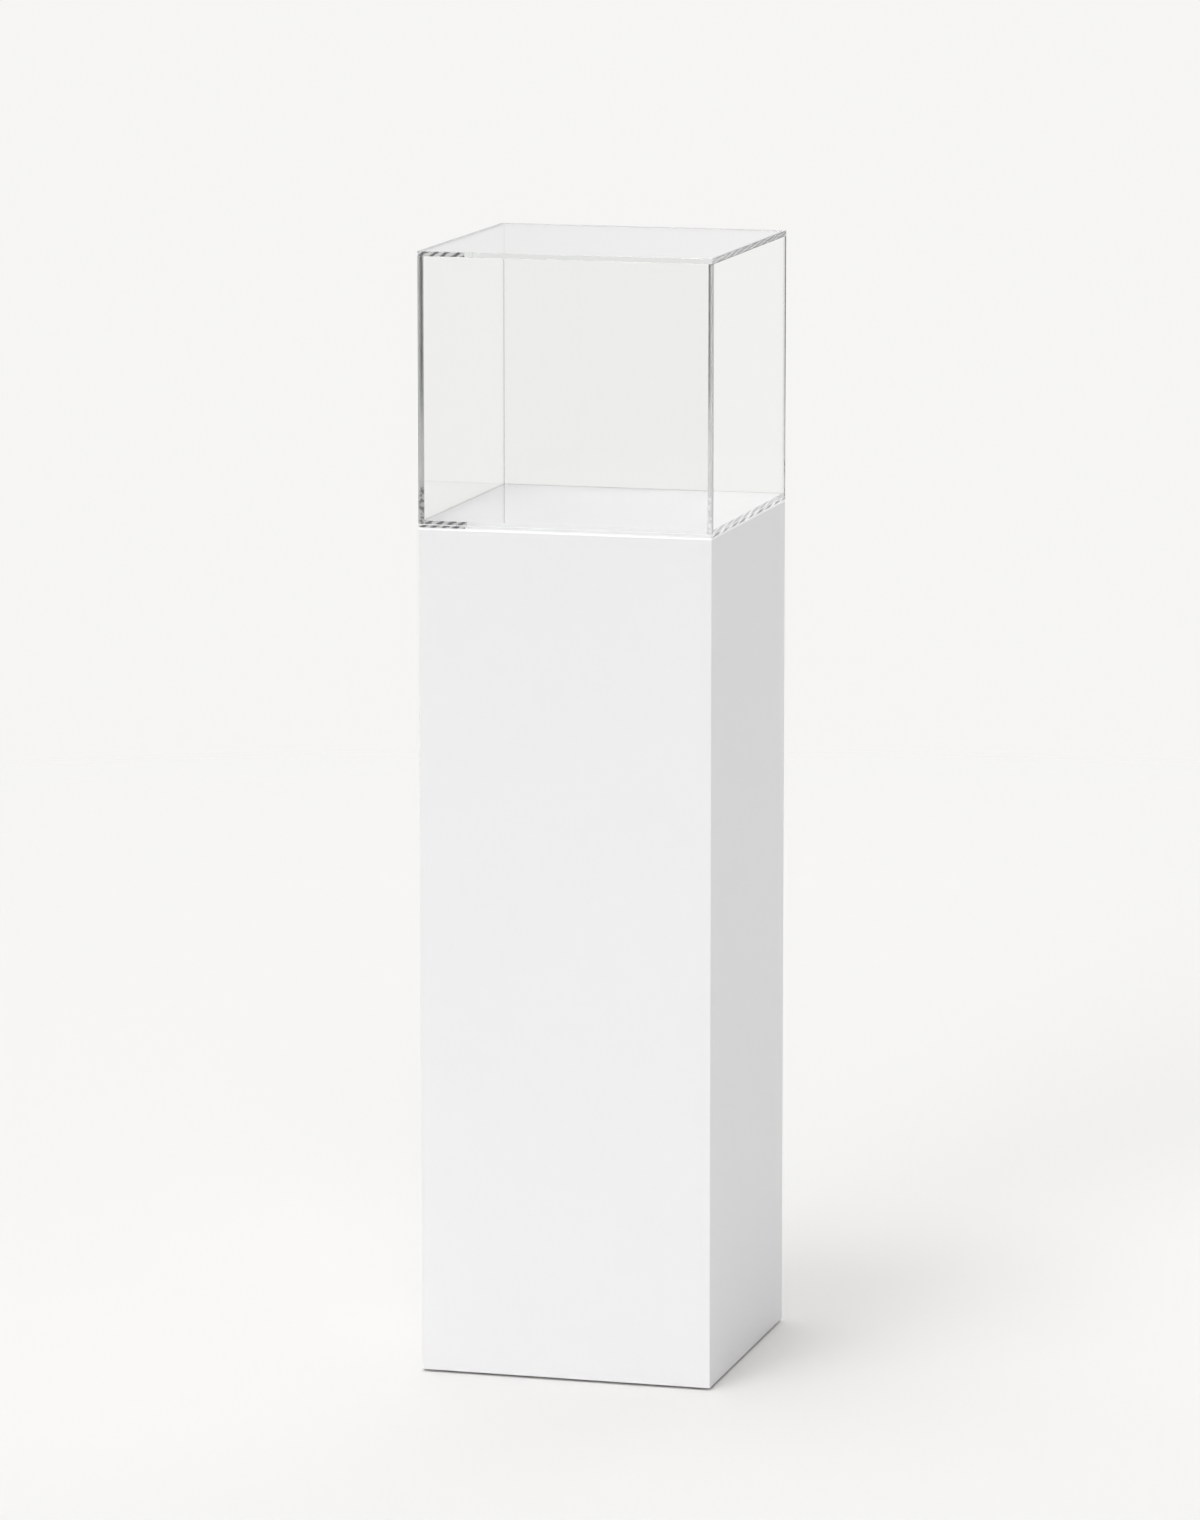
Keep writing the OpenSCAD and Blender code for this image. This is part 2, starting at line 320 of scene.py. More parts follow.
def screw_thread(
    radius: float, low: float, high: float, pitch: float, columns: int, rows_a_turn: int
) -> Surface:
    """Makes an upright threaded rod with pointed crests and a chamfered upper end.

    The distance from the axis depends on the height and on the angle. Height over pitch,
    less the angle as a share of a turn, gives the place in the thread. Twice the distance
    of that place from the middle of a crest runs from 0 in the root to 1 on the crest, and
    is cut off at both ends, which leaves the flats of crest and root.

    Args:
        radius: The radius over the crests.
        low: The height of the lower end.
        high: The height of the upper end.
        pitch: The distance from crest to crest.
        columns: How many points there are round the rod.
        rows_a_turn: How many rows of points there are in one pitch.

    Returns:
        The closed surface.
    """
    depth = THREAD_DEPTH * pitch
    rows = round((high - low) / pitch * rows_a_turn) + 1
    height = np.linspace(low, high, rows)[:, None]
    angle = np.linspace(0, 2 * math.pi, columns, endpoint=False)[None, :]
    place = (height / pitch - angle / (2 * math.pi)) % 1
    flank = np.clip((np.abs(2 * place - 1) - THREAD_FLAT) / (1 - 2 * THREAD_FLAT), 0, 1)
    chamfer = radius - depth + (high - height)
    out = np.minimum(radius - depth * flank, chamfer)
    x, y = out * np.cos(angle), out * np.sin(angle)
    return ringed(np.stack([x, y, np.broadcast_to(height, x.shape)], axis=2))


def add_piece(
    name: str, surface: Surface, material: bpy.types.Material, body: str, node: str
) -> bpy.types.Object:
    """Adds a surface to the scene as a piece that stands for a node of the frame.

    Args:
        name: The piece's name.
        surface: Its closed surface.
        material: Its finish.
        body: The body that it moves with.
        node: The node that it stands for.

    Returns:
        The new object.
    """
    mesh = bpy.data.meshes.new(name)
    mesh.from_pydata(surface.points, [], surface.faces)
    shape = bmesh.new()
    shape.from_mesh(mesh)
    bmesh.ops.remove_doubles(shape, verts=shape.verts, dist=MERGE_GAP)
    bmesh.ops.recalc_face_normals(shape, faces=shape.faces)
    shape.to_mesh(mesh)
    shape.free()
    mesh.shade_smooth()
    mesh.set_sharp_from_angle(angle=SHARP_ANGLE)
    mesh.materials.append(material)
    piece = bpy.data.objects.new(name, mesh)
    bpy.context.scene.collection.objects.link(piece)
    level = piece.modifiers.new("flat faces stay flat", "WEIGHTED_NORMAL")
    level.keep_sharp = True
    level.weight = AREA_WEIGHT
    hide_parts(node)
    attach(piece, body)
    log.info("made %s for %s, %d points", name, node, len(mesh.vertices))
    return piece


def trim(
    piece: bpy.types.Object, material: bpy.types.Material,
    chosen: Callable[[np.ndarray, np.ndarray], np.ndarray],
) -> None:
    """Gives some faces of a piece a second finish.

    Args:
        piece: The piece.
        material: The second finish.
        chosen: Says from the middles and the normals of all faces which ones are meant.
    """
    polygons = piece.data.polygons
    middle, normal = np.empty(3 * len(polygons)), np.empty(3 * len(polygons))
    polygons.foreach_get("center", middle)
    polygons.foreach_get("normal", normal)
    meant = chosen(middle.reshape(-1, 3), normal.reshape(-1, 3))
    piece.data.materials.append(material)
    slots = np.empty(len(polygons), np.int32)
    polygons.foreach_get("material_index", slots)
    slots[meant] = len(piece.data.materials) - 1
    polygons.foreach_set("material_index", slots)


def dress_nodes(nodes: Sequence[str], material: bpy.types.Material) -> None:
    """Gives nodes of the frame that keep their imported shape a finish."""
    for node in nodes:
        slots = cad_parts[node].data.materials
        slots.clear()
        slots.append(material)
        log.info("dressed %s in %s", node, material.name)


# ---------------------------------------------------------------------------------------
# Shader graphs
# ---------------------------------------------------------------------------------------


class Signal:
    """The number that a socket carries. An expression on it adds Math nodes."""

    def __init__(self, graph: "Graph", socket: bpy.types.NodeSocket) -> None:
        """Keeps the socket and the graph that it belongs to."""
        self.graph = graph
        self.socket = socket

    def __add__(self, other: "Signal | float") -> "Signal":
        """Returns the sum."""
        return self.graph.math("ADD", self, other)

    __radd__ = __add__

    def __sub__(self, other: "Signal | float") -> "Signal":
        """Returns the difference."""
        return self.graph.math("SUBTRACT", self, other)

    def __rsub__(self, other: float) -> "Signal":
        """Returns a number less this one."""
        return self.graph.math("SUBTRACT", other, self)

    def __mul__(self, other: "Signal | float") -> "Signal":
        """Returns the product."""
        return self.graph.math("MULTIPLY", self, other)

    __rmul__ = __mul__


class Outputs:
    """The outputs of a node, by name."""

    def __init__(self, graph: "Graph", node: bpy.types.Node) -> None:
        """Keeps the node and its graph."""
        self.graph = graph
        self.node = node

    def __getitem__(self, name: str) -> Signal:
        """Returns the output of that name that is in use."""
        found = next(s for s in self.node.outputs if s.enabled and s.name == name)
        return Signal(self.graph, found)


class Graph:
    """A node tree that is written as expressions."""

    def __init__(self, tree: bpy.types.NodeTree) -> None:
        """Empties a node tree."""
        self.tree = tree
        tree.nodes.clear()

    def node(
        self, kind: str, settings: dict[str, Any] | None = None,
        inputs: dict[str | int, Any] | None = None,
    ) -> Outputs:
        """Adds a node.

        Args:
            kind: The node's type.
            settings: Its own settings, which are set first. "stops" are a ramp's stops.
            inputs: A signal or a plain value for each socket, by name or by number.

        Returns:
            The node's outputs.
        """
        node = self.tree.nodes.new(kind)
        for name, value in (settings or {}).items():
            if name == "stops":
                self._set_stops(node.color_ramp, value)
            else:
                setattr(node, name, value)
        for key, value in (inputs or {}).items():
            if isinstance(key, int):
                socket = node.inputs[key]
            else:
                socket = next(s for s in node.inputs if s.enabled and s.name == key)
            if isinstance(value, Signal):
                self.tree.links.new(value.socket, socket)
            else:
                socket.default_value = value
        return Outputs(self, node)

    @staticmethod
    def _set_stops(ramp: bpy.types.ColorRamp, stops: Sequence[tuple[float, float]]) -> None:
        """Sets a ramp's stops, each a place and a grey."""
        while len(ramp.elements) < len(stops):
            ramp.elements.new(1.0)
        for element, (place, level) in zip(ramp.elements, stops):
            element.position = place
            element.color = grey(level)

    def math(self, operation: str, *values: "Signal | float") -> Signal:
        """Returns the result of a Math node."""
        inputs = dict(enumerate(values))
        return self.node("ShaderNodeMath", {"operation": operation}, inputs)["Value"]

    def mix(self, factor: "Signal | float", first: Any, second: Any) -> Signal:
        """Returns a colour that lies between two colours."""
        inputs = {"Factor": factor, "A": first, "B": second}
        return self.node("ShaderNodeMix", {"data_type": "RGBA"}, inputs)["Result"]

    def smooth(self, value: Signal, low: float, high: float) -> Signal:
        """Returns 0 below one value, 1 above another, and an S curve in between."""
        return self.node(
            "ShaderNodeMapRange",
            {"interpolation_type": "SMOOTHSTEP"},
            {"Value": value, "From Min": low, "From Max": high},
        )["Result"]

    def place(self) -> Signal:
        """Returns the place on the piece, in metres."""
        return self.node("ShaderNodeTexCoord")["Object"]

    def stretched(self, scale: Sequence[float]) -> Signal:
        """Returns the place on the piece, scaled along each axis."""
        inputs = {"Vector": self.place(), "Scale": scale}
        return self.node("ShaderNodeMapping", None, inputs)["Vector"]

    def noise(self, vector: Signal, scale: float, detail: float = 2.0) -> Signal:
        """Returns smooth noise from 0 to 1."""
        inputs = {"Vector": vector, "Scale": scale, "Detail": detail}
        return self.node("ShaderNodeTexNoise", None, inputs)["Fac"]

    def bump(self, height: Signal, distance: float) -> Signal:
        """Returns the normal over a height, whose full scale is a distance in metres."""
        inputs = {"Height": height, "Distance": distance, "Strength": 1.0}
        return self.node("ShaderNodeBump", None, inputs)["Normal"]

    def finish(self, shader: Signal, volume: Signal | None = None) -> None:
        """Links a shader, and any volume, to the material's output."""
        inputs = {"Surface": shader} | ({"Volume": volume} if volume else {})
        self.node("ShaderNodeOutputMaterial", None, inputs)


def new_material(name: str) -> tuple[bpy.types.Material, Graph]:
    """Returns an empty material and its graph."""
    material = bpy.data.materials.new(name)
    material.use_nodes = True
    return material, Graph(material.node_tree)


def grey(level: float) -> tuple[float, float, float, float]:
    """Returns an even grey as a colour."""
    return (level, level, level, 1.0)


def solid(colour: Sequence[float], share: float = 1.0) -> tuple[float, ...]:
    """Returns a share of a colour, with its alpha."""
    return (*(share * part for part in colour), 1.0)


# ---------------------------------------------------------------------------------------
# Finishes
# ---------------------------------------------------------------------------------------


@dataclass(frozen=True)
class WhiteLacquer:
    """Satin white lacquer: almost even, with a faint skin that scatters the light.

    Attributes:
        name: The material's name.
        colour: Its colour.
        cloud: How far the colour strays.
        cloud_grain: How fine its clouds are.
        roughness: The roughness in its smoothest places.
        haze: How much rougher its haziest places are.
        haze_grain: How fine the haze is.
        skin_grain: How fine the skin is.
        skin_height: How high it is.
        glow: The light that a clear plate above throws onto its top edge, which paths of light
            from the camera find too rarely.
        glow_from: The height where that light starts.
        glow_to: The height where it is full.
    """

    name: str = "white lacquer"
    colour: tuple[float, float, float] = (0.946, 0.942, 0.956)
    cloud: float = 0.012
    cloud_grain: float = 9.0
    roughness: float = 0.36
    haze: float = 0.06
    haze_grain: float = 35.0
    skin_grain: float = 900.0
    skin_height: float = 0.004 * MM
    glow: float = 0.0
    glow_from: float = 0.0
    glow_to: float = 1.0

    def material(self) -> bpy.types.Material:
        """Returns the finish as a material."""
        material, g = new_material(self.name)
        cloud = g.noise(g.place(), self.cloud_grain, 3.0)
        light = tuple(min(1.0, c + self.cloud) for c in self.colour) + (1.0,)
        dark = tuple(c - self.cloud for c in self.colour) + (1.0,)
        skin = g.noise(g.place(), self.skin_grain)
        haze = g.noise(g.place(), self.haze_grain, 4.0)
        height = g.node("ShaderNodeSeparateXYZ", None, {"Vector": g.place()})["Z"]
        lit = g.smooth(height, self.glow_from, self.glow_to)
        shader = g.node("ShaderNodeBsdfPrincipled", None, {
            "Base Color": g.mix(cloud, dark, light),
            "Roughness": self.roughness + self.haze * haze,
            "Normal": g.bump(skin, self.skin_height),
            "Emission Color": g.mix(lit, grey(0.0), grey(1.0)),
            "Emission Strength": self.glow,
        })["BSDF"]
        g.finish(shader)
        return material


@dataclass(frozen=True)
class ClearSheet:
    """Clear polished plastic sheet, a little darker where the light goes along it.

    Attributes:
        index: How strongly it bends the light.
        tint: The colour that it takes on over a long way.
        dimming: How soon it does.
    """

    index: float = 1.49
    tint: tuple[float, float, float] = (0.9, 0.912, 0.908)
    dimming: float = 4.0

    def material(self) -> bpy.types.Material:
        """Returns the finish as a material."""
        material, g = new_material("clear acrylic")
        shader = g.node("ShaderNodeBsdfPrincipled", None, {
            "Base Color": grey(1.0),
            "Roughness": 0.0,
            "IOR": self.index,
            "Transmission Weight": 1.0,
        })["BSDF"]
        body = g.node("ShaderNodeVolumeAbsorption", None, {
            "Color": solid(self.tint), "Density": self.dimming,
        })["Volume"]
        g.finish(shader, body)
        return material


@dataclass(frozen=True)
class CutFace:
    """An almost even grey, for cut or bonded faces and for painted shade, highlights and glow.

    Attributes:
        name: The material's name.
        level: The grey.
        cloud: How far it strays.
        glow: The light that comes out of it after a way inside the sheet.
        grain: How fine its clouds are.
        roughness: The roughness in its smoothest places.
        haze: How much rougher its roughest places are.
    """

    name: str
    level: float
    cloud: float = 0.03
    glow: float = 0.0
    grain: float = 160.0
    roughness: float = 0.35
    haze: float = 0.25

    def material(self) -> bpy.types.Material:
        """Returns the finish as a material."""
        material, g = new_material(self.name)
        cloud = g.noise(g.place(), self.grain, 3.0)
        dark, pale = grey(self.level - self.cloud), grey(self.level + self.cloud)
        shader = g.node("ShaderNodeBsdfPrincipled", None, {
            "Base Color": g.mix(cloud, dark, pale),
            "Roughness": self.roughness + self.haze * cloud,
            "Emission Color": grey(1.0),
            "Emission Strength": self.glow,
        })["BSDF"]
        g.finish(shader)
        return material


@dataclass(frozen=True)
class PaintedEdgeStripes:
    """Slanting marks of the cutter on a cut edge, dark and pale by turns.

    Attributes:
        name: The material's name.
        along: The axis that the edge runs along.
        dark: The colour of the dark stripes.
        pale: The colour between them.
        pitch: The distance from stripe to stripe along the edge.
        rise: The distance from stripe to stripe up the edge.
        waver: How far noise shifts the stripes, as a share of the pitch.
        grain: How fine the noise is.
        falling: How much darker the stripes get for each metre along the edge, as painted shade.
        sway: How much of the tone follows the stripes.
        blotch: How much of it follows the noise.
        soft: The tones that count as fully dark and as fully pale.
        roughness: The roughness in its smoothest places.
        haze: How much rougher its roughest places are.
    """

    name: str = "painted stripes on clear acrylic"
    along: str = "X"
    dark: tuple[float, float, float] = (0.12, 0.125, 0.14)
    pale: tuple[float, float, float] = (0.66, 0.655, 0.64)
    pitch: float = 13.0 * MM
    rise: float = -9.0 * MM
    waver: float = 0.7
    grain: float = 170.0
    falling: float = 0.0
    sway: float = 0.8
    blotch: float = 0.3
    soft: tuple[float, float] = (0.15, 0.85)
    roughness: float = 0.3
    haze: float = 0.3

    def material(self) -> bpy.types.Material:
        """Returns the finish as a material."""
        material, g = new_material(self.name)
        parts = g.node("ShaderNodeSeparateXYZ", None, {"Vector": g.place()})
        cloud = g.noise(g.place(), self.grain, 2.0)
        turns = parts[self.along] * (1 / self.pitch) + parts["Z"] * (1 / self.rise)
        turns = turns + self.waver * cloud
        wave = 0.5 + 0.5 * g.math("SINE", 2 * math.pi * turns)
        level = self.sway * wave + self.blotch * cloud - self.falling * parts[self.along]
        tone = g.smooth(level, *self.soft)
        shader = g.node("ShaderNodeBsdfPrincipled", None, {
            "Base Color": g.mix(tone, solid(self.dark), solid(self.pale)),
            "Roughness": self.roughness + self.haze * cloud,
        })["BSDF"]
        g.finish(shader)
        return material


@dataclass(frozen=True)
class JointFace:
    """The end of a wall in painted shade: grey where light is lost in its joint, paler lower down.

    Attributes:
        name: The material's name.
        upper: Stops of place and grey, from the inside of the wall to its outside.
        lower: The same for the lower part of the end.
        inside: How far the inside of the wall lies from the middle.
        outside: How far its outside lies from the middle.
        pale_below: The height below which the lower greys hold.
        dark_above: The height above which the upper greys hold.
        specks_below: The height below which there are specks.
        speck_fade: Over which height the specks fade out.
        speck: How strong they are, as a share.
        speck_grey: Their grey: dark specks are painted shade, pale ones painted highlights.
        speck_grain: How fine the noise is that makes them.
        speck_soft: The noise at which a speck starts, and at which it is full.
        roughness: The roughness in its smoothest places.
        haze: How much rougher its roughest places are.
    """

    name: str
    upper: tuple[tuple[float, float], ...]
    lower: tuple[tuple[float, float], ...]
    inside: float
    outside: float
    pale_below: float
    dark_above: float
    specks_below: float
    speck_fade: float = 8.0 * MM
    speck: float = 0.8
    speck_grey: float = 0.06
    speck_grain: float = 260.0
    speck_soft: tuple[float, float] = (0.46, 0.56)
    roughness: float = 0.4
    haze: float = 0.2

    def material(self) -> bpy.types.Material:
        """Returns the finish as a material."""
        material, g = new_material(self.name)
        parts = g.node("ShaderNodeSeparateXYZ", None, {"Vector": g.place()})
        across = g.math("ABSOLUTE", parts["X"]) - self.inside
        across = across * (1 / (self.outside - self.inside))
        ramps = [
            g.node("ShaderNodeValToRGB", {"stops": stops}, {"Fac": across})["Color"]
            for stops in (self.lower, self.upper)
        ]
        colour = g.mix(g.smooth(parts["Z"], self.pale_below, self.dark_above), *ramps)
        grain = g.smooth(g.noise(g.place(), self.speck_grain), *self.speck_soft)
        low = g.smooth(parts["Z"], self.specks_below + self.speck_fade, self.specks_below)
        colour = g.mix(self.speck * (grain * low), colour, grey(self.speck_grey))
        shader = g.node("ShaderNodeBsdfPrincipled", None, {
            "Base Color": colour, "Roughness": self.roughness + self.haze * grain,
        })["BSDF"]
        g.finish(shader)
        return material


@dataclass(frozen=True)
class PlanedTimber:
    """Bare planed wood, with growth rings that run along one axis.

    Attributes:
        name: The material's name.
        early: The colour of the pale part of a ring.
        late: The colour of its dark part.
        ring: How close the rings lie.
        stretch: The scale of the grain along each axis, least along the grain.
        waver_grain: How fine the noise is that makes the tone uneven.
        fibre_grain: How fine the fibres are.
        fibre_height: How high they stand.
        tones: How much of the tone comes from the rings, from the waver and from the fibres.
        roughness: The roughness in its smoothest places.
        haze: How much rougher its roughest places are.
    """

    name: str
    early: tuple[float, float, float]
    late: tuple[float, float, float]
    ring: float
    stretch: tuple[float, float, float]
    waver_grain: float = 12.0
    fibre_grain: float = 600.0
    fibre_height: float = 0.05 * MM
    tones: tuple[float, float, float] = (0.55, 0.25, 0.2)
    roughness: float = 0.62
    haze: float = 0.15

    def material(self) -> bpy.types.Material:
        """Returns the finish as a material."""
        material, g = new_material(self.name)
        along = g.stretched(self.stretch)
        waver = g.noise(along, self.waver_grain, 3.0)
        rings = g.node("ShaderNodeTexWave", {"bands_direction": "X"}, {
            "Vector": along, "Scale": self.ring, "Distortion": 6.0, "Detail": 2.0,
        })["Fac"]
        fibre = g.noise(along, self.fibre_grain)
        tone = self.tones[0] * rings + self.tones[1] * waver + self.tones[2] * fibre
        shader = g.node("ShaderNodeBsdfPrincipled", None, {
            "Base Color": g.mix(tone, solid(self.early), solid(self.late)),
            "Roughness": self.roughness + self.haze * fibre,
            "Normal": g.bump(fibre, self.fibre_height),
        })["BSDF"]
        g.finish(shader)
        return material


@dataclass(frozen=True)
class BrightZinc:
    """Bright zinc plate on turned steel.

    Attributes:
        colour: Its colour.
        dull: The share of the colour that is left where it has dulled.
        bloom_grain: How fine the dull patches are.
        turning: The scale of the marks of turning along each axis.
        turning_grain: How fine those marks are.
        turning_depth: How deep they are.
        roughness: The roughness in its smoothest places.
        haze: How much rougher its roughest places are.
    """

    colour: tuple[float, float, float] = (0.62, 0.63, 0.65)
    dull: float = 0.8
    bloom_grain: float = 160.0
    turning: tuple[float, float, float] = (1.0, 1.0, 12.0)
    turning_grain: float = 500.0
    turning_depth: float = 0.01 * MM
    roughness: float = 0.22
    haze: float = 0.2

    def material(self) -> bpy.types.Material:
        """Returns the finish as a material."""
        material, g = new_material("bright zinc")
        bloom = g.noise(g.place(), self.bloom_grain, 4.0)
        turning = g.noise(g.stretched(self.turning), self.turning_grain)
        shader = g.node("ShaderNodeBsdfPrincipled", None, {
            "Base Color": g.mix(bloom, solid(self.colour, self.dull), solid(self.colour)),
            "Metallic": 1.0,
            "Roughness": self.roughness + self.haze * bloom,
            "Normal": g.bump(turning, self.turning_depth),
        })["BSDF"]
        g.finish(shader)
        return material


@dataclass(frozen=True)
class MouldedNylon:
    """Black moulded nylon with a fine spark-eroded texture.

    Attributes:
        colour: Its colour.
        worn: How many times as pale it is where it is scuffed.
        scuff_grain: How fine the scuffs are.
        grain: How fine the texture is.
        grain_depth: How deep it is.
        roughness: The roughness in its smoothest places.
        haze: How much rougher its roughest places are.
    """

    colour: tuple[float, float, float] = (0.022, 0.022, 0.024)
    worn: float = 2.2
    scuff_grain: float = 90.0
    grain: float = 1800.0
    grain_depth: float = 0.03 * MM
    roughness: float = 0.5
    haze: float = 0.2

    def material(self) -> bpy.types.Material:
        """Returns the finish as a material."""
        material, g = new_material("black nylon")
        grain = g.noise(g.place(), self.grain, 3.0)
        scuff = g.noise(g.place(), self.scuff_grain, 4.0)
        shader = g.node("ShaderNodeBsdfPrincipled", None, {
            "Base Color": g.mix(scuff, solid(self.colour), solid(self.colour, self.worn)),
            "Roughness": self.roughness + self.haze * scuff,
            "Normal": g.bump(grain, self.grain_depth),
        })["BSDF"]
        g.finish(shader)
        return material


@dataclass(frozen=True)
class StudioPaper:
    """The pale matt floor of the studio, which fades away towards its rim.

    Attributes:
        colour: The colour of the paper.
        mottle: The share by which the colour varies.
        mottle_grain: How fine the mottle is.
        fade_from: The distance from the middle at which the floor starts to fade.
        fade_to: The distance at which it is gone.
    """

    colour: tuple[float, float, float] = (0.808, 0.804, 0.7935)
    mottle: float = 0.002
    mottle_grain: float = 3.0
    fade_from: float = 3.0
    fade_to: float = 5.0

    def material(self) -> bpy.types.Material:
        """Returns the finish as a material."""
        material, g = new_material("studio floor")
        cloud = g.noise(g.place(), self.mottle_grain)
        paper = g.node("ShaderNodeBsdfPrincipled", None, {
            "Base Color": g.mix(cloud, solid(self.colour, 1 - self.mottle), solid(self.colour)),
            "Roughness": 1.0,
            "Specular IOR Level": 0.0,
        })["BSDF"]
        away = g.node("ShaderNodeVectorMath", {"operation": "LENGTH"}, {0: g.place()})["Value"]
        faded = g.smooth(away, self.fade_from, self.fade_to)
        open_air = g.node("ShaderNodeBsdfTransparent")["BSDF"]
        g.finish(g.node("ShaderNodeMixShader", None, {0: faded, 1: paper, 2: open_air})["Shader"])
        return material


# ---------------------------------------------------------------------------------------
# The case
# ---------------------------------------------------------------------------------------


@dataclass
class Plinth:
    """The lacquered plinth: four mitred sides, and the top between them.

    Attributes:
        half: Half the plinth's width.
        bottom: The height of the lower edge of the sides.
        top: The height of the top.
        board: The thickness of the board.
        top_edge: The radius of the top edge.
        corner: The radius of the upright corners.
        foot_edge: The radius of the lower edges.
        edge_glow: How strongly the clear plate lights the top edge of the sides.
        full_glow: Over which share of that edge, from its top down, the light is full.
        steps: How many points a rounded edge has.
    """

    half: float
    bottom: float
    top: float
    board: float
    top_edge: float = 3 * MM
    corner: float = 1.0 * MM
    foot_edge: float = 0.5 * MM
    edge_glow: float = 0.35
    full_glow: float = 0.1
    steps: int = 7

    @classmethod
    def from_frame(cls) -> "Plinth":
        """Returns the plinth in the size of the frame."""
        (low, high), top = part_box("front_panel"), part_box("top_panel")[1].z
        return cls(half=-low.y, bottom=low.z, top=top, board=high.y - low.y)

    def side_surface(self) -> Surface:
        """Makes the front board, whose section is carried along a side of the plinth.

        Returns:
            The closed surface of the front board.
        """
        inner, under = self.half - self.board, self.top - self.board
        edge, foot, corner = self.top_edge, self.foot_edge, self.corner
        section = [
            (inner, self.bottom, 0.0),
            *eased(self.half - foot, self.bottom + foot, foot, -90, 0, corner, self.steps),
            *eased(self.half - edge, self.top - edge, edge, 0, 45, corner, self.steps),
            (inner, under, 0.0),
        ]
        return mitred_board(Profile.through(section), self.steps)

    def top_surface(self) -> Surface:
        """Makes the top board, mitred all round below its rounded edge.

        Returns:
            The closed surface of the top board.
        """
        inner, under, edge = self.half - self.board, self.top - self.board, self.top_edge
        profile = [
            (inner, under, 0.0),
            *eased(self.half - edge, self.top - edge, edge, 45, 90, self.corner, self.steps),
        ]
        return turned_block(Profile.through(profile), len(Side), self.steps)

    def build(self, lacquer: bpy.types.Material) -> None:
        """Adds the four sides and the top, and dresses the base board."""
        start, full = self.top - self.top_edge, self.top - self.full_glow * self.top_edge
        edge = WhiteLacquer("white lacquer, lit edge", glow=self.edge_glow, glow_from=start,
                            glow_to=full).material()
        for side in Side:
            surface = self.side_surface().turned(side.value)
            board = add_piece(f"lacquered_{side.word}_side", surface, lacquer,
                              "plinth", f"{side.word}_panel")
            trim(board, edge, lambda middle, _: middle[:, 2] > start)
        add_piece("lacquered_top", self.top_surface(), lacquer, "plinth",
                  "top_panel")
        dress_nodes(["base_board"], lacquer)


@dataclass
class Carcass:
    """What holds the plinth together from the inside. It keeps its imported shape.

    Attributes:
        softwood: The finish of the upright battens.
        cleat_wood: The finish of the lying cleats.
        beech: The finish of the biscuits.
    """

    softwood: PlanedTimber = PlanedTimber(
        "planed softwood", early=(0.78, 0.6, 0.38), late=(0.55, 0.36, 0.18), ring=55.0,
        stretch=(1.0, 1.0, 0.04),
    )
    cleat_wood: PlanedTimber = replace(
        softwood, name="planed softwood, lying", stretch=(0.3, 0.3, 1.0)
    )
    beech: PlanedTimber = PlanedTimber(
        "pressed beech", early=(0.66, 0.45, 0.26), late=(0.5, 0.31, 0.16), ring=160.0,
        stretch=(1.0, 1.0, 1.0),
    )

    def build(self, zinc: bpy.types.Material) -> None:
        """Dresses the battens, cleats, biscuits, screws and inserts."""
        dress_nodes([f"batten_{c.value}" for c in Corner], self.softwood.material())
        dress_nodes([f"cleat_{s.word}" for s in Side], self.cleat_wood.material())
        dress_nodes(["corner_biscuits", "top_biscuits"], self.beech.material())
        dress_nodes(["base_screws", "cleat_screws", "insert_nuts"], zinc)


